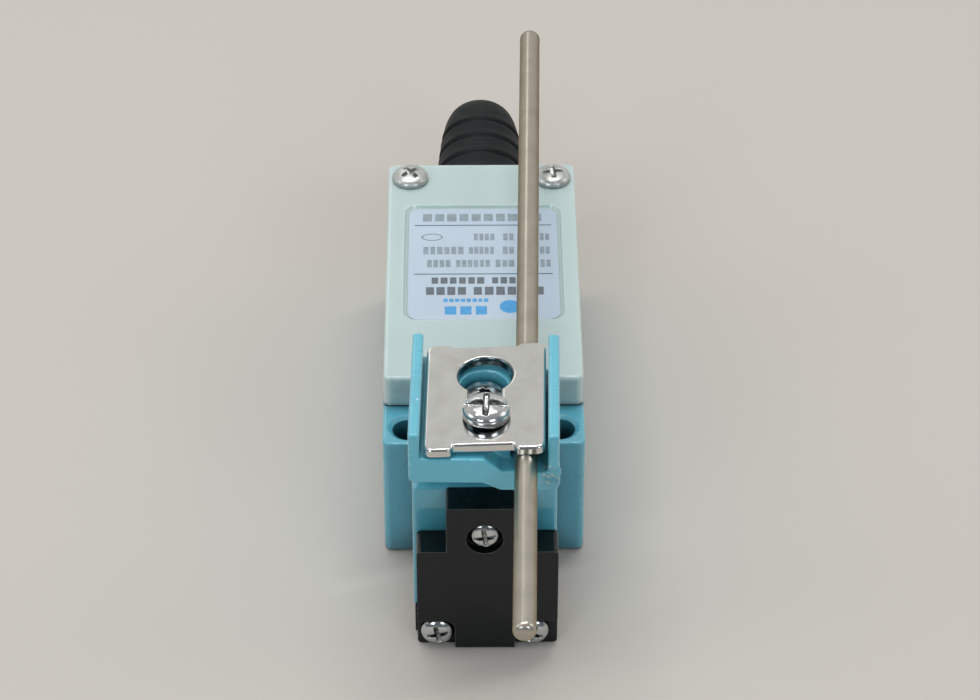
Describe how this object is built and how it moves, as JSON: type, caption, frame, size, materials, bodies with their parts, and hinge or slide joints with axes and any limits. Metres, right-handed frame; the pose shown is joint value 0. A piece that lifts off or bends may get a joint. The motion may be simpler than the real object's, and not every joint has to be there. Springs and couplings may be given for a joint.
{
  "type": "limit switch",
  "caption": "Compact metal-bodied limit switch with a clamped, adjustable round rod lever, rotary head, front cover and cable boot.",
  "frame": {"origin": "midway between the axes of the two mounting holes, on the rear mounting face", "axes": "+Z out of the rear face towards the front cover and lever, +Y from the head towards the cable boot, +X across the housing"},
  "size_m": [0.028, 0.1444, 0.0387],
  "materials": {
    "housing_paint": "semi-gloss baked paint on die-cast metal",
    "head_paint": "semi-gloss baked paint on die-cast metal",
    "lever_paint": "semi-gloss baked paint on die-cast metal",
    "cover_plastic": "satin moulded plastic",
    "label_film": null,
    "black_plastic": "semi-gloss moulded plastic",
    "gasket_rubber": "matte rubber",
    "boot_rubber": "satin rubber",
    "screw_plating": "bright plated steel",
    "inner_screw_plating": "plated steel",
    "nickel_plate": "polished nickel plating",
    "rod_steel": "drawn and plated steel",
    "shaft_steel": "turned steel",
    "spring_steel": "drawn spring wire",
    "gland_brass": "nickel-plated brass",
    "bearing_bronze": "sintered bronze",
    "contact_brass": "stamped brass",
    "switch_moulding": "moulded phenolic",
    "plunger_plastic": "white moulded plastic"
  },
  "bodies": {
    "base": {"housing": "housing_paint", "cover_gasket": "gasket_rubber", "front_cover": "cover_plastic", "label": "label_film", "cover_screws": "screw_plating", "stem_seal": "gasket_rubber", "gland_body": "gland_brass", "gland_washer": "gasket_rubber", "gland_locknut": "gland_brass", "gland_nut": "gland_brass", "cable_boot": "boot_rubber", "head_casting": "head_paint", "head_gasket": "gasket_rubber", "head_screws": "inner_screw_plating", "head_cap": "black_plastic", "cap_corner_screws": "screw_plating", "cap_centre_screw": "screw_plating", "shaft_bush": "bearing_bronze", "shaft_seal_ring": "gasket_rubber", "seal_guard": "shaft_steel", "return_spring": "spring_steel", "plunger_spring": "spring_steel", "switch_case": "switch_moulding", "switch_lid": "switch_moulding", "switch_screws": "inner_screw_plating", "slider_spring": "spring_steel", "nc_terminals": "contact_brass", "no_terminals": "contact_brass", "terminal_clamps": "contact_brass", "terminal_screws": "inner_screw_plating"},
    "lever": {"shaft": "shaft_steel", "shaft_clip": "shaft_steel", "lever_arm": "lever_paint", "lever_screw": "screw_plating", "clamp_plate": "nickel_plate", "clamp_screw": "screw_plating"},
    "rod": {"lever_rod": "rod_steel"},
    "push_plunger": {"operating_plunger": "plunger_plastic"},
    "return_pad": {"return_plunger": "plunger_plastic"},
    "slider": {"switch_slider": "plunger_plastic", "contact_spring": "spring_steel"},
    "bridge": {"contact_bridge": "contact_brass", "moving_contacts": "contact_brass"}
  },
  "joints": [
    {"name": "lever_turn", "type": "hinge", "parent": "base", "child": "lever", "pos_m": [0, -0.009, 0.026], "axis": [0, 0, 1], "range_deg": [-75, 75], "stiffness_Nm_per_rad": 0.08},
    {"name": "rod_slide", "type": "slide", "parent": "lever", "child": "rod", "axis": [0.0218, 0.9998, 0], "range_m": [-0.077, 0.03]},
    {"name": "plunger_push", "type": "slide", "parent": "base", "child": "push_plunger", "axis": [0, 1, 0], "range_m": [0, 0.0015], "stiffness_N_per_m": 500, "springref_m": -0.002, "deforming": ["plunger_spring"]},
    {"name": "return_push", "type": "slide", "parent": "base", "child": "return_pad", "axis": [0, -1, 0], "range_m": [0, 0.0015], "stiffness_N_per_m": 500, "springref_m": -0.002, "deforming": ["return_spring"]},
    {"name": "switch_button", "type": "slide", "parent": "base", "child": "slider", "axis": [0, 1, 0], "range_m": [0, 0.0015], "deforming": ["slider_spring"]},
    {"name": "bridge_snap", "type": "slide", "parent": "base", "child": "bridge", "axis": [0, 1, 0], "range_m": [0, 0.0012], "deforming": ["contact_spring"]}
  ],
  "couplings": [
    {"joint": "switch_button", "follows": "plunger_push", "ratio": 1},
    {"joint": "bridge_snap", "follows": "plunger_push", "ratio": 0.8}
  ]
}
